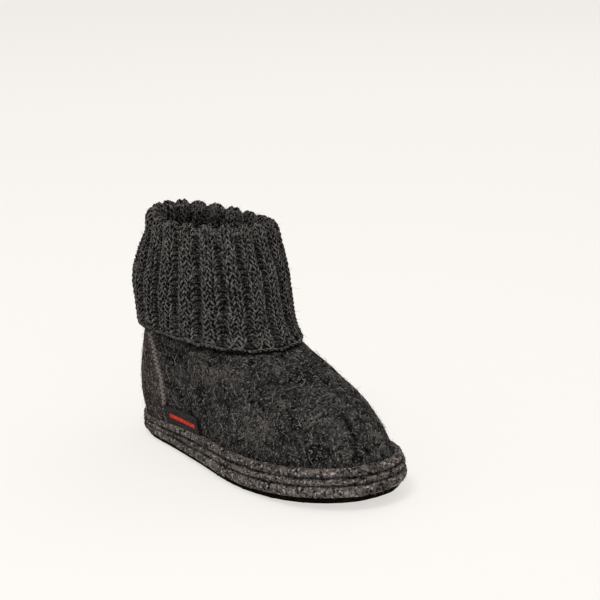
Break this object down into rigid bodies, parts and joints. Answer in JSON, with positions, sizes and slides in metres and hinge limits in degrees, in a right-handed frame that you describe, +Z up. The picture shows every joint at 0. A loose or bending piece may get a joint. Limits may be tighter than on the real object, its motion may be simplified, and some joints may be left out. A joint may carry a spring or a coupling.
{
  "type": "boiled wool slipper",
  "caption": "Child's right slipper boot of boiled wool felt with a ribbed felt sole band, a folded rib knit cuff and a small woven side tag.",
  "frame": {"origin": "on the floor, under the middle of the slipper's outline seen from above", "axes": "+X from heel to toe, +Y towards the inner side of the foot, +Z up"},
  "size_m": [0.185, 0.0772, 0.1253],
  "materials": {
    "outsole": "matt, dark, lightly grained",
    "sole_felt": "coarse boiled wool felt with stitched grooves",
    "insole_felt": "soft felt",
    "upper_felt": "fuzzy boiled wool",
    "knit": "rib knit wool yarn",
    "tag": "woven ribbon with a plain red stripe"
  },
  "bodies": {
    "root": {"outsole": "outsole", "felt_sole": "sole_felt", "insole": "insole_felt", "upper": "upper_felt", "cuff": "knit", "side_tag": "tag"}
  },
  "joints": []
}
